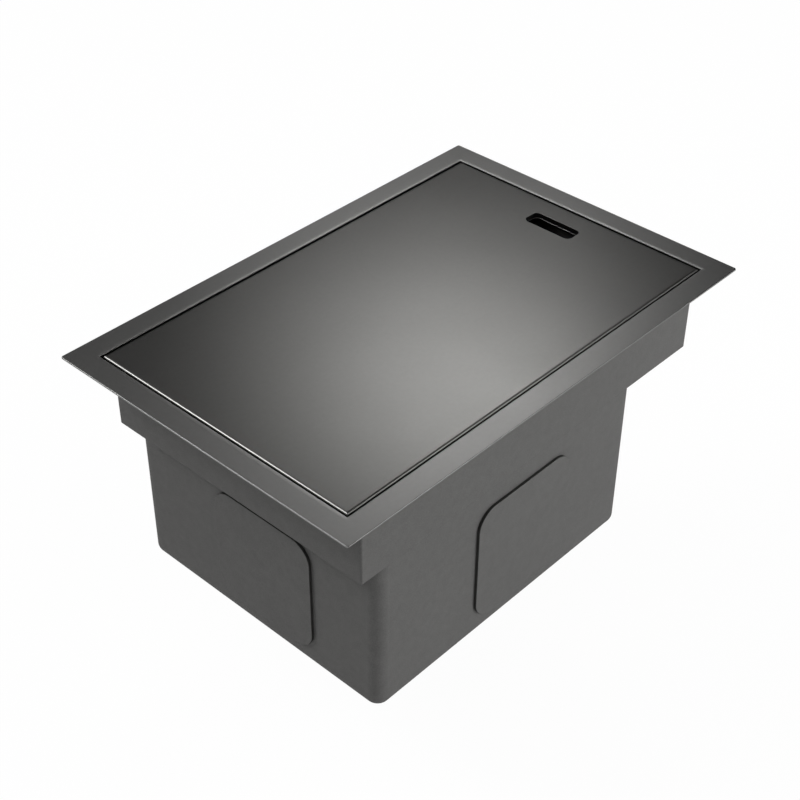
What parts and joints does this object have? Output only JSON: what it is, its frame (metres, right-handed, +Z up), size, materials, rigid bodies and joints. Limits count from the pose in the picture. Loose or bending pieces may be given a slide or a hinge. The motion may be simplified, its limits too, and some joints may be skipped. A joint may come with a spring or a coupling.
{
  "type": "bar sink with lid",
  "caption": "Flush-mounted bar sink with a lift-off lid, a stepped tap well, a round-cornered bowl and a basket waste.",
  "frame": {"origin": "centre of the rim on the worktop plane, which is the plane of the rim's underside", "axes": "+X along the rim's length towards the tap deck, +Y along its width, +Z up out of the worktop"},
  "size_m": [0.45, 0.3, 0.3243],
  "materials": {
    "coated_steel": "satin dark grey coating over brushed sheet",
    "lid_steel": "satin dark grey coating over fine-brushed sheet",
    "sound_pad": "sprayed dark grey over rubber",
    "seal_rubber": "matte black",
    "strainer_steel": "satin dark grey coating",
    "black_plastic": "moulded, matte",
    "white_washer": "moulded, matte",
    "fibre": "pressed fibre"
  },
  "bodies": {
    "sink": {"rim_frame": "coated_steel", "well_walls": "coated_steel", "tap_deck": "coated_steel", "step_ledge": "coated_steel", "bowl": "coated_steel", "sound_pad_front": "sound_pad", "sound_pad_back": "sound_pad", "sound_pad_left": "sound_pad", "sound_pad_right": "sound_pad", "strainer_body": "strainer_steel", "strainer_neck": "strainer_steel", "outlet_cross": "strainer_steel", "flange_gasket": "seal_rubber", "under_gasket": "seal_rubber", "friction_washer": "fibre", "lock_nut": "black_plastic", "tail_washer": "white_washer", "coupling_nut": "black_plastic", "tailpiece": "black_plastic"},
    "lid": {"lid_panel": "lid_steel", "lid_buffer_1": "seal_rubber", "lid_buffer_2": "seal_rubber", "lid_buffer_3": "seal_rubber", "lid_buffer_4": "seal_rubber"},
    "basket": {"basket_cup": "strainer_steel", "basket_knob": "strainer_steel", "stem_spacer": "strainer_steel", "stopper_backing": "strainer_steel", "stopper_seal": "seal_rubber", "stem_nut": "strainer_steel"}
  },
  "joints": [
    {"name": "lid_lift", "type": "slide", "parent": "sink", "child": "lid", "axis": [0, 0, 1], "range_m": [0, 0.15]},
    {"name": "basket_lift", "type": "slide", "parent": "sink", "child": "basket", "axis": [0, 0, 1], "range_m": [0, 0.12]}
  ]
}
